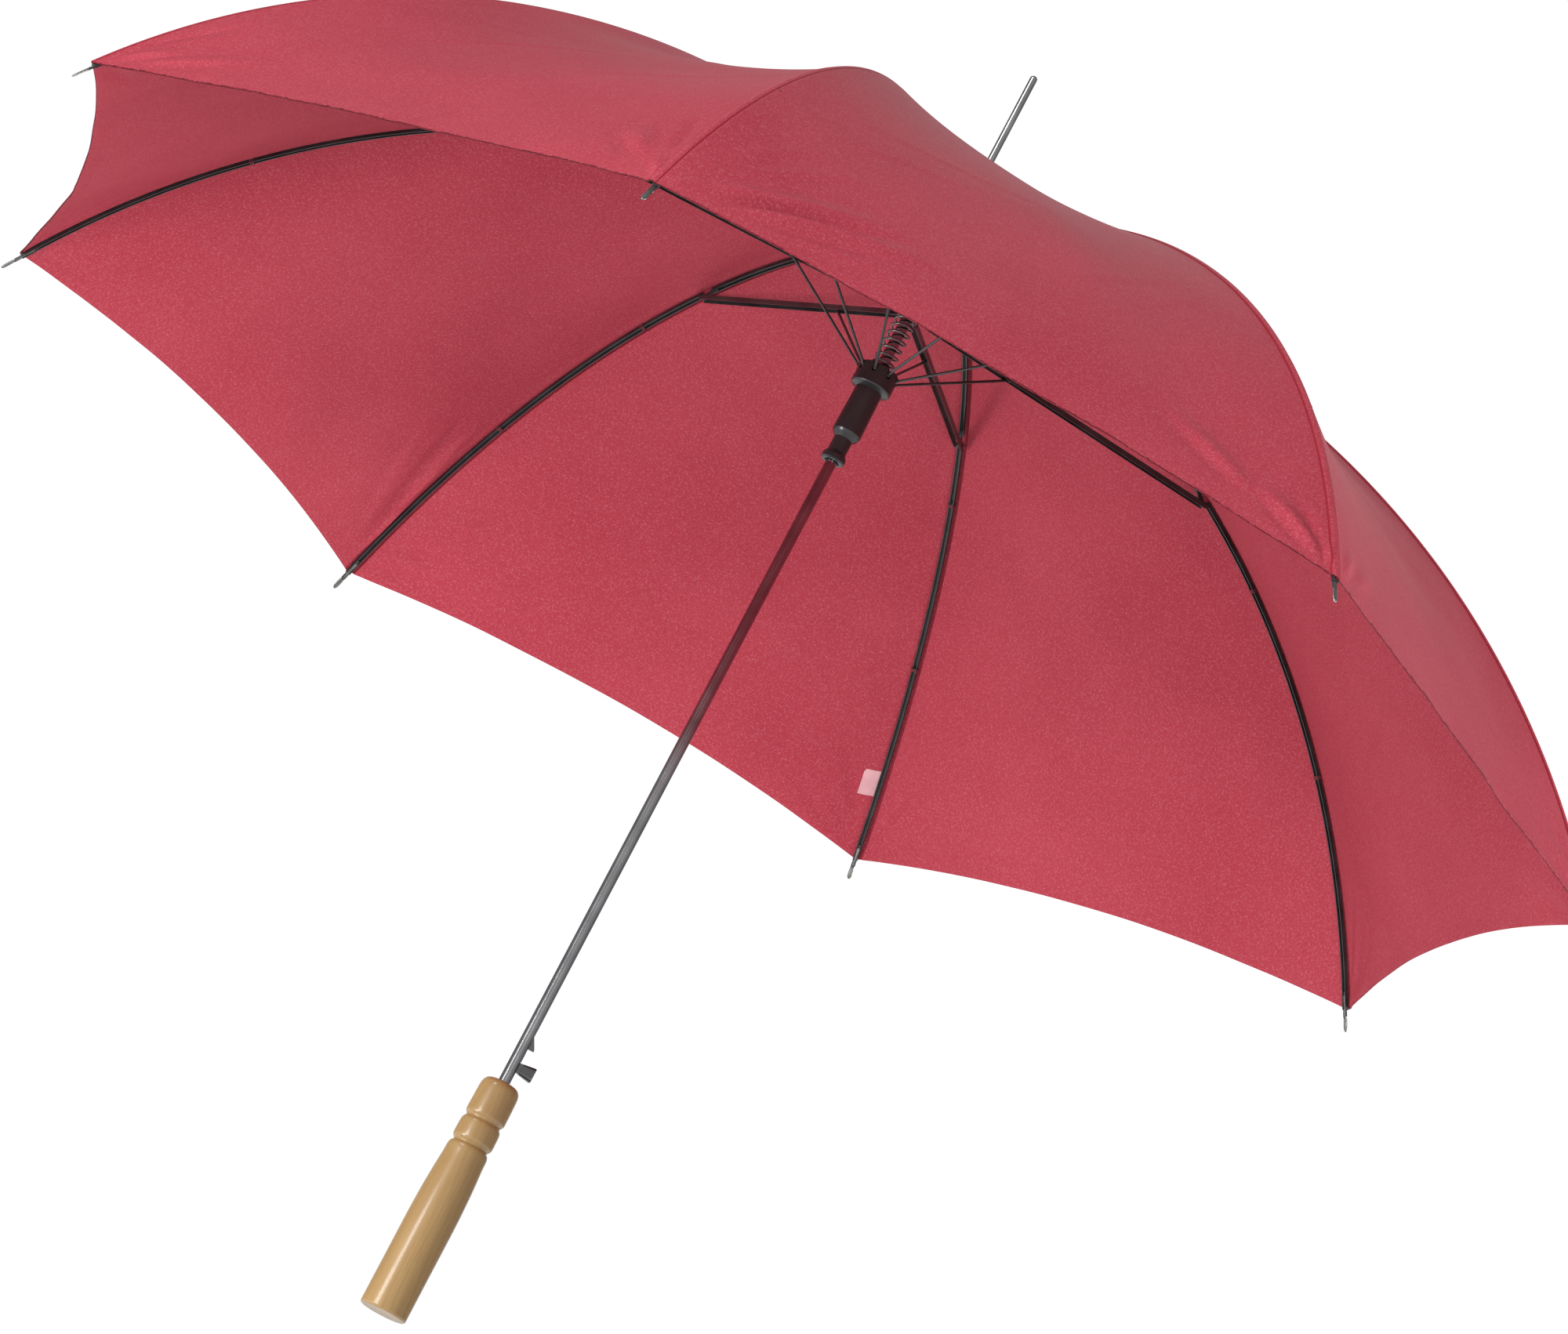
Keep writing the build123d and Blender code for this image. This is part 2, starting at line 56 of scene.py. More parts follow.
# ---- dimensions of the frame, in metres ------------------------------------------------------------
RIB_COUNT = 8
STEP = 2 * math.pi / RIB_COUNT
HALF = STEP / 2
HINGE = (math.hypot(*JOINTS["rib_1_fold"]["pos_m"][:2]), JOINTS["rib_1_fold"]["pos_m"][2])
RIVET = (math.hypot(*JOINTS["rib_1_flex"]["pos_m"][:2]), JOINTS["rib_1_flex"]["pos_m"][2])
SHOULDER = (0.400, 0.6125)
TIP = (0.515, 0.4865)
RIVET_SLOPE = math.radians(-19.5)
CLOTH_RISE = 0.0053                 # middle of the cloth above the ribs' pivot line
CLOTH_THICK = 0.0005

# ---- shape of the cloth ----------------------------------------------------------------------------
INNER_ROWS, OUTER_ROWS = 46, 84
SEAM_COLUMNS = (0.0, 0.0006, 0.0013, 0.0019, 0.0023, 0.0041, 0.0049, 0.0056, 0.0088, 0.0092, 0.013)
PANEL_COLUMNS = 28
SEAM_THICK, SEAM_BAND = 0.0005, (0.0023, 0.0088)
HEM_THICK, HEM_WIDTH = 0.0006, 0.0075
SEAM_SHADE_LINES = (0.0002, -0.0047)      # painted shade: dark lines along the seam's groove and the fell's edge, across from the rib
FELL_HIGH, GROOVE_DEEP = 0.0008, 0.0005
HEM_RISE = 0.0170                   # how far the hem's middle lies above the straight line between two tips
SAG = 0.0128                        # greatest inward sag of a gore between its ribs
CREST = 2.3                         # how sharply the cloth breaks over a rib
SAG_AT_HEM = 0.0053
WAVE_HIGH, CREASE_HIGH, RIPPLE_HIGH = 0.00045, 0.0006, 0.00022


# ---- the ribs' pivot line: three tangent arcs in the radial plane ----------------------------------
def falling_arc(start, end, heading=None, end_heading=None):
    """Centre, radius, first and last heading of the arc that falls from start to end."""
    chord = math.hypot(end[0] - start[0], end[1] - start[1])
    slope = math.atan2(end[1] - start[1], end[0] - start[0])
    if heading is None:
        heading = 2 * slope - end_heading
    radius = chord / 2 / math.sin(heading - slope)
    centre = (start[0] + radius * math.sin(heading), start[1] - radius * math.cos(heading))
    return centre, radius, heading, 2 * slope - heading


ARCS = [falling_arc(HINGE, RIVET, end_heading=RIVET_SLOPE), falling_arc(RIVET, SHOULDER, heading=RIVET_SLOPE)]
ARCS.append(falling_arc(SHOULDER, TIP, heading=ARCS[1][3]))
LENGTHS = [radius * (first - last) for _, radius, first, last in ARCS]
RIVET_AT = LENGTHS[0]
TIP_AT = sum(LENGTHS)


def rib_line(distance, rise=0.0):
    """Radius, height and heading at a distance along the pivot line, raised square to it."""
    distance = np.asarray(distance, float)
    heading = np.zeros_like(distance)
    radius, height = np.zeros_like(distance), np.zeros_like(distance)
    before = 0.0
    for number, ((centre, size, first, _), length) in enumerate(zip(ARCS, LENGTHS)):
        here = distance >= before - 1e-9 if number else np.ones_like(distance, bool)
        turn = first - (distance - before) / size
        heading = np.where(here, turn, heading)
        radius = np.where(here, centre[0] - np.sin(turn) * (size + rise), radius)
        height = np.where(here, centre[1] + np.cos(turn) * (size + rise), height)
        before += length
    return radius, height, heading


# ---- small helpers ---------------------------------------------------------------------------------
def smooth(x):
    x = np.clip(x, 0, 1)
    return x * x * (3 - 2 * x)


def add_mesh(name, points, faces, smooth_faces=True):
    mesh = bpy.data.meshes.new(name)
    mesh.from_pydata([tuple(p) for p in points], [], [tuple(f) for f in faces])
    mesh.update()
    if smooth_faces:
        mesh.polygons.foreach_set("use_smooth", [True] * len(mesh.polygons))
    piece = bpy.data.objects.new(name, mesh)
    bpy.context.collection.objects.link(piece)
    return piece


def sharpen(piece, degrees):
    """Shade smooth, but keep edges sharper than this angle."""
    piece.data.shade_smooth()
    piece.data.set_sharp_from_angle(angle=math.radians(degrees))


def grid_faces(rows, columns, offset=0, wrap=False, flip=False):
    faces = []
    for i in range(rows - 1):
        for j in range(columns if wrap else columns - 1):
            k = (j + 1) % columns
            face = [offset + i * columns + j, offset + i * columns + k,
                    offset + (i + 1) * columns + k, offset + (i + 1) * columns + j]
            faces.append(face[::-1] if flip else face)
    return faces


def rounded(outline, radii, steps=4):
    """Points of an outline whose corners are rounded by the given radii."""
    points = []
    previous, following = outline[-1:] + outline[:-1], outline[1:] + outline[:1]
    for (x, y), radius, before, after in zip(outline, radii, previous, following):
        if radius == 0:
            points.append((x, y))
            continue
        corner, a, b = Vector((x, y)), Vector(before), Vector(after)
        start = corner + (a - corner).normalized() * radius
        end = corner + (b - corner).normalized() * radius
        for n in range(steps + 1):
            t = n / steps
            points.append(tuple((1 - t) ** 2 * start + 2 * t * (1 - t) * corner + t * t * end))
    return points


def lathe(name, outline, around=96):
    """Surface of revolution about Z; an end point on the axis becomes a pole."""
    points, rows = [], []
    for radius, height in outline:
        if radius < 1e-7:
            rows.append([len(points)])
            points.append((0, 0, height))
        else:
            rows.append(list(range(len(points), len(points) + around)))
            turns = [2 * math.pi * n / around for n in range(around)]
            points += [(radius * math.cos(turn), radius * math.sin(turn), height) for turn in turns]
    faces = []
    for low, high in zip(rows, rows[1:]):
        for n in range(around):
            m = (n + 1) % around
            if len(low) == 1:
                faces.append((low[0], high[m], high[n]))
            elif len(high) == 1:
                faces.append((low[n], low[m], high[0]))
            else:
                faces.append((low[n], low[m], high[m], high[n]))
    return add_mesh(name, points, faces)


def tube(path, radius, sides=12, closed=False):
    """Points and faces of a round tube along a path of numpy points."""
    path = np.asarray(path, float)
    count = len(path)
    after = np.roll(path, -1, 0) - path
    before = path - np.roll(path, 1, 0)
    if not closed:
        after[-1], before[0] = before[-1], after[0]
    along = after + before
    along /= np.linalg.norm(along, axis=1)[:, None]
    side = np.cross(along[0], (0.3, 0.2, 1.0))
    points = []
    for n in range(count):
        side = side - along[n] * (side @ along[n])
        side /= np.linalg.norm(side)
        up = np.cross(along[n], side)
        size = radius[n] if hasattr(radius, "__len__") else radius
        for k in range(sides):
            angle = 2 * math.pi * k / sides
            points.append(path[n] + size * (math.cos(angle) * side + math.sin(angle) * up))
    faces = grid_faces(count, sides, wrap=True)
    if closed:
        last = (count - 1) * sides
        shift = min(range(sides), key=lambda k: np.linalg.norm(points[last] - points[k]))
        faces += [(last + k, last + (k + 1) % sides, (k + 1 + shift) % sides, (k + shift) % sides)
                  for k in range(sides)]
    else:
        faces += [tuple(range(sides))[::-1], tuple(range((count - 1) * sides, count * sides))]
    return points, faces


def joined(name, parts):
    """One mesh from several (points, faces) pairs."""
    points, faces = [], []
    for some_points, some_faces in parts:
        faces += [[i + len(points) for i in face] for face in some_faces]
        points += [tuple(p) for p in some_points]
    return add_mesh(name, points, faces)


def rib_azimuth(number):
    return HALF + STEP * (number - 1)


def place(points, azimuth):
    """Turn (r, y, z) points from azimuth 0 to a rib's azimuth."""
    points = np.asarray(points, float)
    c, s = math.cos(azimuth), math.sin(azimuth)
    return np.stack([points[..., 0] * c - points[..., 1] * s, points[..., 0] * s + points[..., 1] * c,
                     points[..., 2]], -1)


# ---- camera ----------------------------------------------------------------------------------------
EYE, AIM = Vector((-0.3379, -2.8723, -0.3848)), Vector((0.0312, -0.0041, 0.4429))
ROLL = math.radians(27.66)
LENS = 118.06                       # mm, on a 36 mm wide sensor


def make_camera():
    camera_data = bpy.data.cameras.new("camera")
    camera_data.sensor_width = 36
    camera_data.lens = LENS
    camera_data.clip_end = 50
    camera = bpy.data.objects.new("camera", camera_data)
    bpy.context.collection.objects.link(camera)
    turn = (AIM - EYE).to_track_quat("-Z", "Y").to_matrix().to_4x4() @ Matrix.Rotation(ROLL, 4, "Z")
    camera.matrix_world = Matrix.Translation(EYE) @ turn
    bpy.context.scene.camera = camera


make_camera()


# ---- materials -------------------------------------------------------------------------------------
class Nodes:
    """A material's node tree, with short calls to add and join nodes."""

    def __init__(self, name):
        self.material = bpy.data.materials.new(name)
        self.material.use_nodes = True
        self.tree = self.material.node_tree
        self.shader = self.tree.nodes["Principled BSDF"]

    def add(self, kind, settings=None, **inputs):
        node = self.tree.nodes.new(kind)
        for key, value in (settings or {}).items():
            setattr(node, key, value)
        for key, value in inputs.items():
            self.set(node, key.replace("_", " "), value)
        return node

    def set(self, node, key, value):
        socket = node.inputs[int(key)] if key.isdigit() else node.inputs[key]
        if isinstance(value, bpy.types.NodeSocket):
            self.tree.links.new(value, socket)
        else:
            socket.default_value = value

    def math(self, operation, a, b=0.0):
        node = self.tree.nodes.new("ShaderNodeMath")
        node.operation = operation
        self.set(node, "0", a)
        self.set(node, "1", b)
        return node.outputs[0]

    def ramp(self, value, stops):
        node = self.tree.nodes.new("ShaderNodeValToRGB")
        elements = node.color_ramp.elements
        while len(elements) < len(stops):
            elements.new(0.5)
        for element, (place_at, colour) in zip(elements, stops):
            element.position = place_at
            element.color = (*colour, 1) if hasattr(colour, "__len__") else (colour, colour, colour, 1)
        self.set(node, "0", value)
        return node.outputs["Color"]

    def mix(self, factor, a, b, blend="MIX"):
        node = self.tree.nodes.new("ShaderNodeMix")
        node.data_type = "RGBA"
        node.blend_type = blend
        self.set(node, "0", factor)
        self.set(node, "6", a if not isinstance(a, tuple) else (*a, 1))
        self.set(node, "7", b if not isinstance(b, tuple) else (*b, 1))
        return node.outputs[2]

    def noise(self, vector, scale, detail=3.0, roughness=0.5):
        node = self.add("ShaderNodeTexNoise", Vector=vector, Scale=scale, Detail=detail, Roughness=roughness)
        return node.outputs["Fac"]

    def wave(self, vector, scale, direction, distortion=0.0):
        node = self.add("ShaderNodeTexWave", {"bands_direction": direction}, Vector=vector, Scale=scale,
                        Distortion=distortion)
        return node.outputs["Fac"]

    def place(self):
        return self.tree.nodes.new("ShaderNodeTexCoord").outputs["Object"]

    def stretched(self, vector, scale):
        return self.add("ShaderNodeMapping", Vector=vector, Scale=scale).outputs[0]

    def split_x(self, vector):
        return self.add("ShaderNodeSeparateXYZ", Vector=vector).outputs[0]

    def bump(self, height, strength, distance, below=None):
        node = self.add("ShaderNodeBump", Height=height, Strength=strength, Distance=distance)
        if below is not None:
            self.set(node, "Normal", below)
        return node.outputs[0]

    def finish(self, **inputs):
        for key, value in inputs.items():
            key = key.replace("_", " ")
            if isinstance(value, tuple) and len(value) == 3:
                value = (*value, 1)
            self.set(self.shader, key, value)
        return self.material


def fabric_material():
    m = Nodes("canopy_fabric")
    uv = m.add("ShaderNodeUVMap", {"uv_map": "cloth"}).outputs[0]
    warp = m.wave(uv, 520.0, "X")
    weft = m.wave(uv, 520.0, "Y")
    weave = m.math("MULTIPLY", m.math("ADD", warp, weft), 0.5)
    patches = m.noise(m.place(), 7.0, 4.0, 0.55)
    threads = m.noise(m.stretched(uv, (60.0, 2600.0, 1.0)), 1.0, 2.0)
    # fine noise for the weave's own dark flecks and for painted glints
    grain = m.noise(m.place(), 800.0, 3.0, 0.65)
    colour = m.ramp(patches, [(0.3, (0.322, 0.034, 0.053)), (0.7, (0.373, 0.047, 0.069))])
    colour = m.mix(m.ramp(weave, [(0.2, 0.12), (0.8, 0.0)]), colour, (0.180, 0.009, 0.017))
    colour = m.mix(m.ramp(threads, [(0.35, 0.10), (0.65, 0.0)]), colour, (0.420, 0.064, 0.086))
    # painted glints: pale flecks stand in for the satin's sparkling sheen
    colour = m.mix(m.ramp(grain, [(0.52, 0.0), (0.66, 0.30)]), colour, (0.520, 0.185, 0.210))
    colour = m.mix(m.ramp(grain, [(0.34, 0.25), (0.48, 0.0)]), colour, (0.240, 0.013, 0.023))
    beside = m.split_x(uv)                    # distance from the rib's seam, across the cloth
    # painted shade: dark lines painted along the seam's groove and along the fell's edge
    for shade_line_at in SEAM_SHADE_LINES:
        gap = m.math("ABSOLUTE", m.math("SUBTRACT", beside, shade_line_at))
        line = m.ramp(m.math("MULTIPLY", gap, 400.0), [(0.08, 0.75), (0.30, 0.0)])
        colour = m.mix(line, colour, (0.190, 0.007, 0.014))
    wrinkles = m.noise(m.stretched(m.place(), (1.0, 1.0, 1.6)), 34.0, 4.0, 0.5)
    soft = m.bump(wrinkles, 0.35, 0.0012)
    normal = m.bump(weave, 0.12, 0.0003, soft)
    return m.finish(Base_Color=colour, Roughness=0.50, Normal=normal, Specular_IOR_Level=0.06)


def paint_material():
    m = Nodes("rib_steel")
    place_at = m.place()
    flecks = m.noise(place_at, 900.0, 3.0)
    long_marks = m.noise(place_at, 60.0, 4.0)
    colour = m.ramp(long_marks, [(0.35, (0.012, 0.012, 0.013)), (0.75, (0.034, 0.033, 0.034))])
    colour = m.mix(m.ramp(flecks, [(0.68, 0.0), (0.80, 0.5)]), colour, (0.16, 0.155, 0.15))
    rough = m.ramp(long_marks, [(0.2, 0.26), (0.8, 0.44)])
    normal = m.bump(flecks, 0.15, 0.0001)
    return m.finish(Base_Color=colour, Roughness=rough, Normal=normal, Metallic=0.0, Coat_Weight=0.25,
                    Coat_Roughness=0.2)


def chrome_material():
    m = Nodes("chrome_tube")
    place_at = m.place()
    drawn = m.noise(m.stretched(place_at, (900.0, 900.0, 6.0)), 1.0, 3.0)
    smudge = m.noise(place_at, 45.0, 4.0)
    colour = m.ramp(smudge, [(0.3, (0.27, 0.27, 0.28)), (0.7, (0.38, 0.38, 0.39))])
    rough = m.math("ADD", m.math("MULTIPLY", smudge, 0.14), 0.10)
    normal = m.bump(drawn, 0.03, 0.00005)
    return m.finish(Base_Color=colour, Metallic=1.0, Roughness=rough, Normal=normal)


def steel_material(name, dark, light, rough_low, rough_high):
    m = Nodes(name)
    place_at = m.place()
    grain = m.noise(place_at, 1400.0, 3.0)
    oxide = m.noise(place_at, 120.0, 4.0)
    colour = m.ramp(oxide, [(0.3, dark), (0.7, light)])
    rough = m.ramp(oxide, [(0.2, rough_low), (0.8, rough_high)])
    normal = m.bump(grain, 0.2, 0.00006)
    return m.finish(Base_Color=colour, Metallic=1.0, Roughness=rough, Normal=normal)


def plastic_material():
    m = Nodes("black_plastic")
    place_at = m.place()
    grain = m.noise(place_at, 1800.0, 2.0)
    flow = m.noise(m.stretched(place_at, (60.0, 60.0, 20.0)), 1.0, 3.0)
    colour = m.ramp(flow, [(0.3, (0.010, 0.010, 0.011)), (0.7, (0.022, 0.022, 0.023))])
    rough = m.ramp(flow, [(0.2, 0.24), (0.8, 0.36)])
    normal = m.bump(grain, 0.08, 0.00008)
    return m.finish(Base_Color=colour, Roughness=rough, Normal=normal)


def wood_material():
    m = Nodes("handle_wood")
    place_at = m.place()
    slow = m.noise(m.stretched(place_at, (26.0, 26.0, 5.0)), 1.0, 3.0)
    shifted = m.add("ShaderNodeMix", {"data_type": "VECTOR"})
    m.set(shifted, "0", 0.030)
    m.set(shifted, "4", place_at)
    m.set(shifted, "5", m.add("ShaderNodeTexNoise", Vector=m.stretched(place_at, (30.0, 30.0, 4.0)),
                              Scale=1.0).outputs["Color"])
    rings = m.add("ShaderNodeTexWave", {"wave_type": "BANDS", "bands_direction": "DIAGONAL"},
                  Vector=m.stretched(shifted.outputs[1], (1.0, 1.0, 0.10)), Scale=75.0, Distortion=2.5,
                  Detail=3.0).outputs["Fac"]
    pores = m.noise(m.stretched(place_at, (1500.0, 1500.0, 45.0)), 1.0, 4.0, 0.6)
    colour = m.ramp(rings, [(0.0, (0.345, 0.212, 0.078)), (0.55, (0.385, 0.245, 0.096)),
                            (1.0, (0.360, 0.222, 0.083))])
    colour = m.mix(m.ramp(slow, [(0.35, 0.50), (0.65, 0.0)]), colour, (0.262, 0.150, 0.055))
    colour = m.mix(m.ramp(pores, [(0.32, 0.40), (0.46, 0.0)]), colour, (0.260, 0.130, 0.042))
    normal = m.bump(pores, 0.10, 0.0001)
    rough = m.ramp(pores, [(0.2, 0.42), (0.7, 0.27)])
    return m.finish(Base_Color=colour, Roughness=rough, Normal=normal, Coat_Weight=0.35, Coat_Roughness=0.12)


def thread_material():
    m = Nodes("sewing_thread")
    twist = m.wave(m.stretched(m.place(), (1.0, 1.0, 1.4)), 900.0, "DIAGONAL")
    colour = m.ramp(twist, [(0.2, (0.075, 0.012, 0.018)), (0.8, (0.200, 0.035, 0.048))])
    return m.finish(Base_Color=colour, Roughness=0.8, Normal=m.bump(twist, 0.4, 0.0001))


def label_material():
    m = Nodes("label_cloth")
    place_at = m.place()
    weave = m.noise(place_at, 1500.0, 2.0)
    shade = m.noise(place_at, 90.0, 3.0)
    colour = m.ramp(shade, [(0.3, (0.50, 0.26, 0.28)), (0.7, (0.58, 0.33, 0.35))])
    return m.finish(Base_Color=colour, Roughness=0.8, Normal=m.bump(weave, 0.3, 0.0001), Sheen_Weight=0.1)


def stage_material():
    m = Nodes("floor")
    shade = m.noise(m.place(), 1.5, 2.0)
    return m.finish(Base_Color=m.ramp(shade, [(0.3, 0.78), (0.7, 0.82)]), Roughness=0.9)


FABRIC = fabric_material()
PAINT = paint_material()
CHROME = chrome_material()
SPRING_STEEL = steel_material("spring_steel", (0.10, 0.10, 0.105), (0.22, 0.22, 0.225), 0.28, 0.45)
TIP_METAL = steel_material("tip_metal", (0.14, 0.14, 0.135), (0.30, 0.295, 0.28), 0.25, 0.42)
PLASTIC = plastic_material()
WOOD = wood_material()
THREAD = thread_material()
LABEL = label_material()


def dress(piece, material, slot, body, *replaced):
    """Give a piece its material, and let it ride its body."""
    piece.data.materials.clear()
    piece.data.materials.append(material)
    if replaced:
        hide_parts(*replaced)
    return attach(piece, body)


# ---- cloth: one continuous surface, cut into a panel for each rib ----------------------------------
def cloth_columns(half_width):
    """Share of the half gore at each column, from the rib to the gore's middle."""
    near = np.array(SEAM_COLUMNS) * min(1.0, half_width / 0.04) / half_width
    far = near[-1] + (1 - near[-1]) * np.linspace(0, 1, PANEL_COLUMNS + 1)[1:] ** 1.25
    return np.concatenate([near, far])


# Folds at the tips, by rib and side, in mm: start and end (across and up from the tip), half width, height.
FOLD_LINES = {
    (6, 1): ((12, 13, 104, 92, 6, 3.6), (30, 14, 128, 80, 6, 3.4), (20, 12, 116, 86, 4, -2.2),
             (3, 4, 22, 24, 3, 1.6), (10, 26, 44, 130, 3, 0.9), (16, 30, 74, 128, 3, 0.9),
             (52, 12, 120, 50, 4, 1.3)),
    (6, -1): ((3, 5, 16, 30, 4, 2.0), (22, 22, 50, 66, 7, 2.0), (10, 30, 20, 90, 4, -1.4)),
    (7, -1): ((10, 8, 44, 44, 5, 3.4), (46, 30, 96, 74, 7, 2.2), (6, 10, 24, 50, 4, -1.6),
              (2, 2, 7, 24, 3, 1.5)),
    (7, 1): ((6, 8, 34, 44, 6, 1.2), (30, 20, 80, 60, 7, 1.0)),
    (3, -1): ((6, 9, 40, 20, 4, 2.0), (6, 30, 52, 42, 5, 2.6), (8, 72, 62, 92, 6, 2.2),
              (6, 50, 50, 64, 5, -1.8)),
    (3, 1): ((3, 10, 16, 150, 4, -2.6), (9, 16, 34, 150, 5, 2.2), (16, 14, 60, 140, 5, -1.3)),
    (5, 1): ((6, 8, 30, 40, 5, 1.4), (16, 8, 70, 52, 6, 1.2), (5, 20, 22, 90, 4, -1.0)),
}


def plain_folds(rng):
    """Three folds for a corner that has no marked ones of its own."""
    lines = []
    for turn, size in zip((22, 42, 60), rng.uniform(0.5, 1.2, 3)):
        turn = math.radians(turn + rng.uniform(-6, 6))
        near, far = rng.uniform(8, 22), rng.uniform(55, 95)
        start = (near * math.sin(turn), near * math.cos(turn))
        end = (far * math.sin(turn), far * math.cos(turn))
        lines.append((*start, *end, rng.uniform(4, 7), size))
    return lines


def corner_folds(across, up, number, side, rng):
    """Folds that spread from the tip where the hem pulls on the corner."""
    folds = np.zeros_like(across)
    for line in FOLD_LINES.get((number, side)) or plain_folds(rng):
        a, b, c, d, width, size = np.array(line) / 1000
        length = math.hypot(c - a, d - b)
        along = ((across - a) * (c - a) + (up - b) * (d - b)) / length ** 2
        off = ((across - a) * (d - b) - (up - b) * (c - a)) / length
        wide = width * (0.55 + 0.6 * np.clip(along, 0, 1))
        ends = smooth(along / 0.35) * smooth((1.05 - along) / 0.6)
        folds += size * ends * (np.exp(-(off / wide) ** 2) - 0.45 * np.exp(-((off - 1.7 * wide) / wide) ** 2))
    return folds * smooth(across / 0.003) * smooth((up + 0.02) / 0.02)


def seam_pleat(across, distance, side):
    """The felled seam beside each rib, as it shows from outside."""
    starts = smooth(distance / 0.03)
    if side > 0:
        return -GROOVE_DEEP * smooth((0.0014 - across) / 0.0010) * starts
    near_edge, far_edge = smooth((across - 0.0004) / 0.0008), smooth((0.0048 - across) / 0.0008)
    return FELL_HIGH * near_edge * far_edge * starts


def slack(across, distance, half_width, rng):
    """Slow waves and a few soft creases left from folding."""
    share = np.clip(across / np.maximum(half_width, 1e-6), 0, 1)
    wave = np.zeros_like(across)
    for _ in range(4):
        turn = rng.uniform(0, math.pi)
        size = rng.uniform(0.09, 0.22)
        phase = rng.uniform(0, 2 * math.pi)
        wave += np.sin(2 * math.pi * (across * math.cos(turn) + distance * math.sin(turn)) / size + phase)
    crease = np.zeros_like(across)
    for _ in range(3):
        turn = rng.uniform(-0.9, 0.9)
        start = rng.uniform(0.25, 0.56)
        off = (distance - start) * math.cos(turn) + (across - 0.06) * math.sin(turn)
        fade = np.exp(-((across - rng.uniform(0.03, 0.14)) / 0.05) ** 2)
        crease += fade * (np.exp(-np.abs(off) / 0.004) * 0.9 - np.exp(-np.abs(off - 0.005) / 0.006) * 0.5)
    grow = smooth(distance / 0.25) * share * (2 - share)
    return (WAVE_HIGH * wave + CREASE_HIGH * crease) * grow


def half_gore(number, side):
    """Mid-surface points of one half gore, and each point's distance across, to the hem and along the rib."""
    rng = np.random.default_rng(100 + 10 * number + (side > 0))
    rows = np.concatenate([np.linspace(-0.0005, RIVET_AT, INNER_ROWS),
                           RIVET_AT + (TIP_AT - RIVET_AT) * np.linspace(0, 1, OUTER_ROWS + 1)[1:]])
    radius, _, _ = rib_line(rows, CLOTH_RISE)
    shares = np.array([cloth_columns(r * math.sin(HALF)) for r in radius])
    bow = 1 - (1 - shares) ** 2
    pull = smooth((rows[:, None] - RIVET_AT) / (TIP_AT - RIVET_AT))
    distance = rows[:, None] - HEM_RISE * bow * pull
    radius, height, heading = rib_line(distance, CLOTH_RISE)
    half_width = radius * math.sin(HALF)
    across = half_width * shares
    out = radius * math.cos(HALF)
    slope = np.arctan2(np.sin(heading), np.cos(heading) * math.cos(HALF))
    t = distance / TIP_AT
    deep = SAG * np.sin(math.pi * np.clip(t, 0, 1) ** 1.25) ** 0.9 + SAG_AT_HEM * smooth((t - 0.55) / 0.45)
    sink = deep * (1 - (1 - shares) ** CREST)     # the cloth breaks over the rib in a crest
    up = TIP_AT - distance
    sink = sink - corner_folds(across, up, number, side, rng) - slack(across, distance, half_width, rng)
    sink = sink - seam_pleat(across, distance, side)
    hem_distance = (TIP_AT - HEM_RISE * bow) - distance
    edge_ripple = RIPPLE_HIGH * np.sin(across / 0.0105 + rng.uniform(0, 6)) * np.exp(-hem_distance / 0.010)
    sink = sink + edge_ripple * np.clip(across / 0.03, 0, 1) * np.clip((half_width - across) / 0.03, 0, 1)
    out = out + np.sin(slope) * sink
    height = height - np.cos(slope) * sink
    inward = -(half_width - across)
    azimuth = rib_azimuth(number) + side * HALF
    c, s = math.cos(azimuth), math.sin(azimuth)
    points = np.stack([out * c - side * inward * s, out * s + side * inward * c, height], -1)
    return points, across, hem_distance, distance


def cloth_grid():
    """The whole canopy as rows by columns around: points, distance across, to the hem and along the rib."""
    halves = {(n, side): half_gore(n, side) for n in range(1, RIB_COUNT + 1) for side in (-1, 1)}
    for n in range(1, RIB_COUNT + 1):         # neighbouring halves share their middle and their rib line
        after = n % RIB_COUNT + 1
        right, left = halves[(n, 1)][0], halves[(after, -1)][0]
        gap = left[:, -1] - right[:, -1]
        columns = right.shape[1]
        fade = smooth((np.arange(columns) / (columns - 1) - 0.45) / 0.55)[None, :, None]
        right += 0.5 * gap[:, None] * fade
        left -= 0.5 * gap[:, None] * fade
        both = 0.5 * (halves[(n, 1)][0][:, 0] + halves[(n, -1)][0][:, 0])
        halves[(n, 1)][0][:, 0] = both
        halves[(n, -1)][0][:, 0] = both
    strips = []
    for n in range(1, RIB_COUNT + 1):
        left, right = halves[(n, -1)], halves[(n, 1)]
        strips.append([np.concatenate([l[:, :0:-1], r[:, :-1]], 1) for l, r in zip(left, right)])
    return [np.concatenate([strip[k] for strip in strips], 1) for k in range(4)]


def grid_normals(points):
    """Outward normals of the periodic grid; the seam over each rib keeps a narrow ridge."""
    around = np.roll(points, -1, 1) - np.roll(points, 1, 1)
    down = np.gradient(points, axis=0)
    normals = np.cross(down, around)
    normals /= np.linalg.norm(normals, axis=2)[..., None]
    return normals


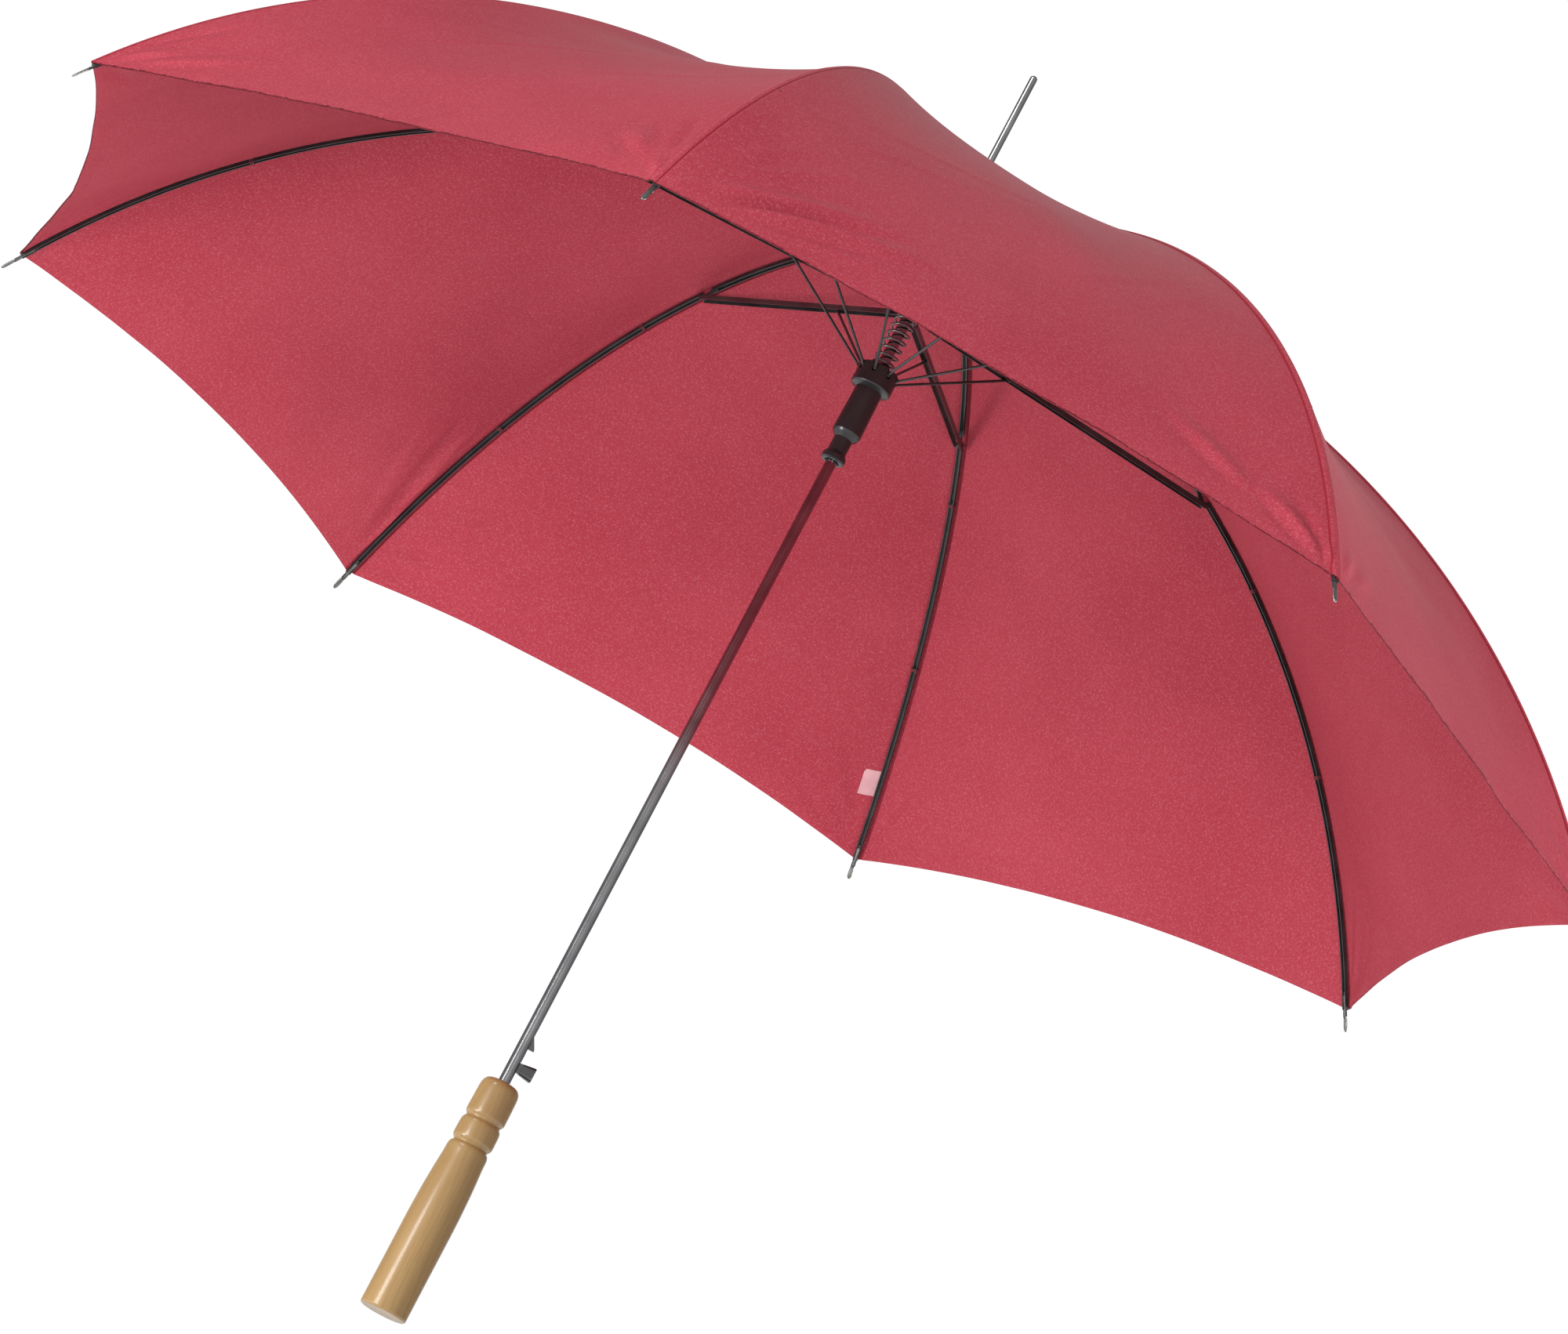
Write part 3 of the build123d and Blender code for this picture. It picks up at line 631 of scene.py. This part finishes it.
def make_canopy():
    points, across, hem_distance, distance = cloth_grid()
    normals = grid_normals(points)
    columns = points.shape[1]
    per_rib = columns // RIB_COUNT
    half = per_rib // 2
    sides = np.tile(np.concatenate([-np.ones(half), np.ones(per_rib - half)]), RIB_COUNT)[None, :]
    near_edge = smooth((across - SEAM_BAND[0] + 0.0003) / 0.0004)
    far_edge = smooth((SEAM_BAND[1] + 0.0003 - across) / 0.0004)
    extra = SEAM_THICK * (near_edge * far_edge) * (sides > 0) * smooth(distance / 0.02)
    extra = np.maximum(extra, HEM_THICK * (hem_distance < HEM_WIDTH))
    top = points + normals * CLOTH_THICK / 2
    bottom = points - normals * (CLOTH_THICK / 2 + extra)[..., None]
    under_normals = -grid_normals(bottom)
    for number in range(1, RIB_COUNT + 1):
        start = (number - 1) * per_rib
        take = [(start + j) % columns for j in range(per_rib + 1)]
        for part, rows in (("inner", slice(0, INNER_ROWS)), ("outer", slice(INNER_ROWS - 1, None))):
            make_panel(number, part, top[rows][:, take], bottom[rows][:, take], normals[rows][:, take],
                       under_normals[rows][:, take], across[rows][:, take], distance[rows][:, take],
                       sides[:, take])


def make_panel(number, part, top, bottom, top_normals, bottom_normals, across, distance, sides):
    """One rib's share of the canopy, above or below the rivet, as a closed thin mesh."""
    rows, columns = top.shape[:2]
    count = rows * columns
    points = np.concatenate([top.reshape(-1, 3), bottom.reshape(-1, 3)])
    faces = grid_faces(rows, columns, flip=True) + grid_faces(rows, columns, count)
    rim = [j for j in range(columns)] + [i * columns + columns - 1 for i in range(1, rows)]
    rim += [(rows - 1) * columns + j for j in range(columns - 2, -1, -1)]
    rim += [i * columns for i in range(rows - 2, 0, -1)]
    faces += [(a, b, b + count, a + count) for a, b in zip(rim, rim[1:] + rim[:1])]
    panel = add_mesh(f"canopy_panel_{part}_{number}", points, faces)
    normals = np.concatenate([top_normals.reshape(-1, 3), bottom_normals.reshape(-1, 3)])
    panel.data.normals_split_custom_set_from_vertices([tuple(n) for n in normals])
    uv = panel.data.uv_layers.new(name="cloth")
    flat = np.stack([across * sides, distance], -1).reshape(-1, 2)
    flat = np.concatenate([flat, flat])
    index = np.zeros(len(panel.data.loops), int)
    panel.data.loops.foreach_get("vertex_index", index)
    uv.data.foreach_set("uv", flat[index].ravel())
    dress(panel, FABRIC, "canopy_fabric", f"rib_{part}_{number}", f"canopy_{part}_{number}")
    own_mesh(panel)


make_canopy()


# ---- top rosette and collar ------------------------------------------------------------------------
def make_rosette():
    low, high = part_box("top_cap")
    neck, edge = 0.0060, 0.0163
    around, rows = 128, 14
    base = HINGE[1] + 0.0070
    outer, inner = [], []
    for i in range(rows + 1):
        t = i / rows
        for j in range(around):
            angle = 2 * math.pi * j / around
            if t < 0.4:
                k = t / 0.4
                radius = neck - 0.0004 + 0.0006 * k + 0.00018 * math.sin(18 * angle + 9 * k)
                height = high[2] - 0.0002 + (base + 0.0014 - high[2]) * k
            else:
                k = (t - 0.4) / 0.6
                radius = neck + 0.0002 + (edge - neck - 0.0006) * k
                height = base + 0.0014 - 0.0010 * k + 0.00022 * math.sin(18 * angle + 1.0) * (1 - 0.4 * k)
            outer.append((radius * math.cos(angle), radius * math.sin(angle), height))
            inner.append((radius * math.cos(angle), radius * math.sin(angle), height - 0.0005))
    count = len(outer)
    faces = grid_faces(rows + 1, around, wrap=True, flip=True)
    faces += grid_faces(rows + 1, around, count, wrap=True)
    for row, turn in ((0, 1), (rows, -1)):
        for j in range(around):
            a, b = row * around + j, row * around + (j + 1) % around
            faces.append((a, b, b + count, a + count)[::turn])
    rosette = add_mesh("top_rosette", outer + inner, faces)
    uv = rosette.data.uv_layers.new(name="cloth")
    for loop in rosette.data.loops:
        x, y, _ = rosette.data.vertices[loop.vertex_index].co
        uv.data[loop.index].uv = (x, y)
    dress(rosette, FABRIC, "canopy_fabric", "root", "top_cap")


make_rosette()


# ---- handle ----------------------------------------------------------------------------------------
def make_handle():
    """Turned grip with two grooves and a domed top, bored for the shaft."""
    def curve(points, steps=10):
        """Smooth curve through a few points."""
        points = np.array(points, float)
        padded = np.concatenate([[2 * points[0] - points[1]], points, [2 * points[-1] - points[-2]]])
        out = []
        for a, b, c, d in zip(padded, padded[1:], padded[2:], padded[3:]):
            for n in range(steps):
                t = n / steps
                out.append(0.5 * (2 * b + (c - a) * t + (2 * a - 5 * b + 4 * c - d) * t * t
                                  + (3 * b - a - 3 * c + d) * t ** 3))
        return [tuple(p) for p in out] + [tuple(points[-1])]

    foot = [(0, 0), (0.0126, 0), (0.0131, 0.00004), (0.0136, 0.0002), (0.01395, 0.0006), (0.0142, 0.0014)]
    body = curve([(0.0142, 0.0014), (0.0142, 0.030), (0.0142, 0.058), (0.0139, 0.074), (0.0133, 0.087),
                  (0.0126, 0.0970), (0.01245, 0.1020), (0.01215, 0.1040), (0.0116, 0.1052), (0.0109, 0.1058)])
    ring = curve([(0.01065, 0.1063), (0.01065, 0.1069), (0.0112, 0.1077), (0.0119, 0.1087), (0.0123, 0.1103),
                  (0.01232, 0.1145), (0.01215, 0.1186), (0.0118, 0.1202), (0.0112, 0.1212)])
    top = curve([(0.01070, 0.1219), (0.01068, 0.1226), (0.0111, 0.1235), (0.0118, 0.1245), (0.01212, 0.1264),
                 (0.01205, 0.1330), (0.01184, 0.1408), (0.0115, 0.1435), (0.0108, 0.1453), (0.0095, 0.1467),
                 (0.0074, 0.1474), (0.0055, 0.14748), (0.0040, 0.14748)])
    bore = [(0.00354, 0.1473), (0.00352, 0.1468), (0.00352, 0.1000), (0, 0.1000)]
    handle = lathe("wooden_handle", foot + body + ring + top + bore, 128)
    sharpen(handle, 50)
    dress(handle, WOOD, "handle_wood", "root", "handle")


make_handle()


# ---- metal tips, thread ties and the care label ----------------------------------------------------
def frame_at(distance, rise):
    """Origin and the along and outward directions at a point of the rib line, on azimuth 0."""
    radius, height, heading = (float(v) for v in rib_line(distance, rise))
    along = np.array([math.cos(heading), 0, math.sin(heading)])
    outward = np.array([-math.sin(heading), 0, math.cos(heading)])
    return np.array([radius, 0, height]), along, outward


def make_tips():
    """Pressed tip: round neck, flattened paddle with a rounded end."""
    stations = [(-0.006, 0.00120, 0.00095), (-0.0045, 0.00125, 0.00100), (-0.002, 0.00115, 0.00095),
                (0.0, 0.00095, 0.00085), (0.004, 0.00090, 0.00080), (0.0065, 0.00110, 0.00070),
                (0.0085, 0.00145, 0.00062), (0.0105, 0.00160, 0.00060), (0.0130, 0.00165, 0.00060),
                (0.0148, 0.00158, 0.00058), (0.0160, 0.00125, 0.00056), (0.0167, 0.00075, 0.00054),
                (0.0171, 0.00025, 0.00030)]
    sides = 20
    base, along, outward = frame_at(TIP_AT - 0.0030, 0.0025)
    across = np.array([0, 1, 0])
    for number in range(1, RIB_COUNT + 1):
        points = []
        for reach, wide, thick in stations:
            for k in range(sides):
                angle = 2 * math.pi * k / sides
                y = math.copysign(abs(math.cos(angle)) ** 0.8, math.cos(angle)) * wide
                z = math.copysign(abs(math.sin(angle)) ** 0.8, math.sin(angle)) * thick
                points.append(base + along * reach + across * y + outward * z)
        faces = grid_faces(len(stations), sides, wrap=True)
        faces += [tuple(range(sides))[::-1], tuple(range((len(stations) - 1) * sides, len(stations) * sides))]
        tip = add_mesh(f"rib_tip_{number}", place(points, rib_azimuth(number)), faces)
        sharpen(tip, 60)
        dress(tip, TIP_METAL, "", f"rib_outer_{number}")


def tie_loops(distance, rng):
    """Turns of thread round the rib, with the stitch that goes up into the cloth."""
    parts = []
    for turn in range(4):
        origin, along, outward = frame_at(distance + (turn - 1.5) * 0.00065, 0.0)
        corners = [(-0.0020, 0.0010), (0.0020, 0.0010), (0.0021, 0.0047), (-0.0021, 0.0047)]
        loop = rounded(corners, [0.0009] * 4, 4)
        lean = rng.uniform(-0.0004, 0.0004)
        path = [origin + np.array([0, 1, 0]) * y + outward * z + along * lean * (y / 0.002) for y, z in loop]
        parts.append(tube(path, 0.00026, 8, closed=True))
    origin, along, outward = frame_at(distance, 0.0)
    knot = [origin + np.array([0, 0.0021 + 0.0009 * math.sin(3.1 * t), 0]) + outward * (0.0026 + 0.0018 * t)
            + along * 0.0011 * math.cos(5.0 * t) for t in np.linspace(0, 1, 10)]
    parts.append(tube(knot, 0.00030, 8))
    return parts


def make_ties():
    rng = np.random.default_rng(7)
    for number in range(1, RIB_COUNT + 1):
        for part, spots in (("inner", (0.128,)), ("outer", (RIVET_AT + 0.062, RIVET_AT + 0.198))):
            loops = []
            for spot in spots:
                loops += tie_loops(spot + rng.uniform(-0.006, 0.006), rng)
            moved = [(place(points, rib_azimuth(number)), faces) for points, faces in loops]
            ties = joined(f"thread_tie_{part}_{number}", moved)
            dress(ties, THREAD, "", f"rib_{part}_{number}")


def make_label(number=2):
    """Small blank label sewn into the seam."""
    origin, along, outward = frame_at(RIVET_AT + 0.289, 0.0040)
    rows, columns = 12, 15
    wide, deep = 0.019, 0.0115
    across = np.array([0, 1, 0])
    front, back = [], []
    for i in range(rows):
        for j in range(columns):
            u, v = j / (columns - 1) - 0.5, i / (rows - 1)
            hang = deep * v
            curl = 0.0011 * math.sin(2.4 * v) + 0.0006 * math.cos(5 * u) * v
            point = (origin + along * (u * wide + 0.001 * v) - outward * (0.0012 + hang * 0.30 + curl * 0.6)
                     + across * (0.0022 + hang * 0.94 - curl * 0.3))
            front.append(point)
            back.append(point + 0.00035 * (outward * 0.94 + across * 0.30))
    count = len(front)
    faces = grid_faces(rows, columns) + grid_faces(rows, columns, count, flip=True)
    rim = list(range(columns)) + [i * columns + columns - 1 for i in range(1, rows)]
    rim += [(rows - 1) * columns + j for j in range(columns - 2, -1, -1)]
    rim += [i * columns for i in range(rows - 2, 0, -1)]
    faces += [(b, a, a + count, b + count) for a, b in zip(rim, rim[1:] + rim[:1])]
    label = add_mesh("care_label", place(front + back, rib_azimuth(number)), faces)
    sharpen(label, 60)
    dress(label, LABEL, "", f"rib_outer_{number}")


make_tips()
make_ties()
make_label()


# ---- main spring -----------------------------------------------------------------------------------
COIL_TURNS, COIL_STEPS = 7.4, 40
COIL_CLOSE = 0.072                  # how much closer the coils sit at the two ends


def make_spring():
    low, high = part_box("main_spring")
    wire = 0.0005
    radius = (high[0] - low[0]) / 2 - wire
    bottom, top = low[2] + wire, high[2] - wire
    steps = int(COIL_TURNS * COIL_STEPS)
    path = []
    for n in range(steps + 1):
        t = n / steps
        rise = t - COIL_CLOSE * math.sin(2 * math.pi * t) / (2 * math.pi)
        angle = 2 * math.pi * COIL_TURNS * t
        path.append((radius * math.cos(angle), radius * math.sin(angle), bottom + (top - bottom) * rise))
    points, faces = tube(path, 0.00072, 12)
    spring = add_mesh("coil_spring", points, faces)
    dress(spring, SPRING_STEEL, "spring_steel", "runner", "main_spring")
    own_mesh(spring)


make_spring()


# ---- finishes of the CAD pieces --------------------------------------------------------------------
def paint_cad():
    finishes = {"shaft": CHROME, "ferrule": CHROME, "top_notch": PLASTIC, "crown": PLASTIC, "runner": PLASTIC,
                "push_button": PLASTIC, "notch_wire": SPRING_STEEL, "crown_wire": SPRING_STEEL,
                "catch": PAINT, "rib_inner": PAINT, "rib_outer": PAINT, "stretcher": PAINT,
                "link": PAINT}
    for name, node in frame["nodes"].items():
        finish = finishes.get(name) or finishes.get(name.rsplit("_", 1)[0])
        if finish is None:
            continue
        if not node.material_slots:
            node.data.materials.append(finish)
        for slot in node.material_slots:
            slot.material = finish


paint_cad()


# ---- light and stage -------------------------------------------------------------------------------
# Pale surround, lightest behind the umbrella: place from front (0) to back (1), and brightness.
SURROUND = ((0.0, 0.62), (0.30, 0.50), (0.5, 0.30), (0.90, 0.24), (0.982, 1.0))
SURROUND_STRENGTH = 1.02
BACKWARD = (0.1220, 0.9528, 0.2779)
FLOOR_Z, FLOOR_SIZE = -0.55, 8
MIDDLE = (0, 0, 0.45)
LAMPS = (       # name, place, aim, size in m, power in W, and what the lamp is kept off
    ("right", (3.0, 0.0, 0.45), MIDDLE, 1.0, 99, ("floor", "wooden_handle", "shaft", "catch", "push_button")),
    ("front", (0.0, -2.95, -0.07), MIDDLE, 1.0, 42, ("floor", "wooden_handle")),
    ("left", (-2.4, -1.72, 0.19), MIDDLE, 1.0, 31, ("floor",)),
    ("above", (-2.01, -1.41, 2.17), MIDDLE, 1.0, 34, ("floor",)),
    ("overhead", (0.3, 1.4, 3.0), (0, 0, 0.55), 1.2, 3, ("floor",)),
    ("side", (-1.3, -0.5, -0.35), (0, 0, 0.08), 0.35, 12, ("floor", "shaft")),
)
FLOOR_LAMP = ("floor_light", (0, 0, 4.0), (0, 0, 0), 6.0, 330)


def add_light(name, place_at, aim, size, power):
    data = bpy.data.lights.new(name, "AREA")
    data.shape = "DISK"
    data.size = size
    data.energy = power
    light = bpy.data.objects.new(name, data)
    bpy.context.collection.objects.link(light)
    turn = (Vector(aim) - Vector(place_at)).to_track_quat("-Z", "Y").to_matrix().to_4x4()
    light.matrix_world = Matrix.Translation(place_at) @ turn
    return light


def link_light(light, pieces, state="INCLUDE"):
    """Keep a light on these pieces only, or off them."""
    receivers = bpy.data.collections.new(f"{light.name}_receivers")
    for piece in pieces:
        receivers.objects.link(piece)
    for entry in receivers.collection_objects:
        entry.light_linking.link_state = state
    light.light_linking.receiver_collection = receivers


def make_world():
    """Pale studio surround, white behind the umbrella and dimmer elsewhere."""
    world = bpy.data.worlds.new("studio")
    world.use_nodes = True
    tree = world.node_tree
    background = tree.nodes["Background"]
    direction = tree.nodes.new("ShaderNodeTexCoord")
    toward = tree.nodes.new("ShaderNodeVectorMath")
    toward.operation = "DOT_PRODUCT"
    toward.inputs[1].default_value = BACKWARD
    share = tree.nodes.new("ShaderNodeMath")
    share.operation = "MULTIPLY_ADD"
    share.inputs[1].default_value = 0.5
    share.inputs[2].default_value = 0.5
    ramp = tree.nodes.new("ShaderNodeValToRGB")
    elements = ramp.color_ramp.elements
    while len(elements) < len(SURROUND):
        elements.new(0.5)
    for element, (position, light) in zip(elements, SURROUND):
        element.position = position
        element.color = (light, light, light, 1)
    tree.links.new(direction.outputs["Generated"], toward.inputs[0])
    tree.links.new(toward.outputs["Value"], share.inputs[0])
    tree.links.new(share.outputs[0], ramp.inputs[0])
    tree.links.new(ramp.outputs[0], background.inputs["Color"])
    background.inputs["Strength"].default_value = SURROUND_STRENGTH
    bpy.context.scene.world = world


def make_stage():
    corners = ((-1, -1), (1, -1), (1, 1), (-1, 1))
    points = [(x * FLOOR_SIZE, y * FLOOR_SIZE, FLOOR_Z) for x, y in corners]
    floor = add_mesh("floor", points, [(0, 1, 2, 3)], False)
    floor.data.materials.append(stage_material())
    for *lamp, kept_off in LAMPS:
        pieces = [frame["nodes"].get(name) or bpy.data.objects[name] for name in kept_off]
        link_light(add_light(*lamp), pieces, "EXCLUDE")
    link_light(add_light(*FLOOR_LAMP), [floor])
    bpy.context.scene.view_settings.view_transform = "Standard"


make_world()
make_stage()
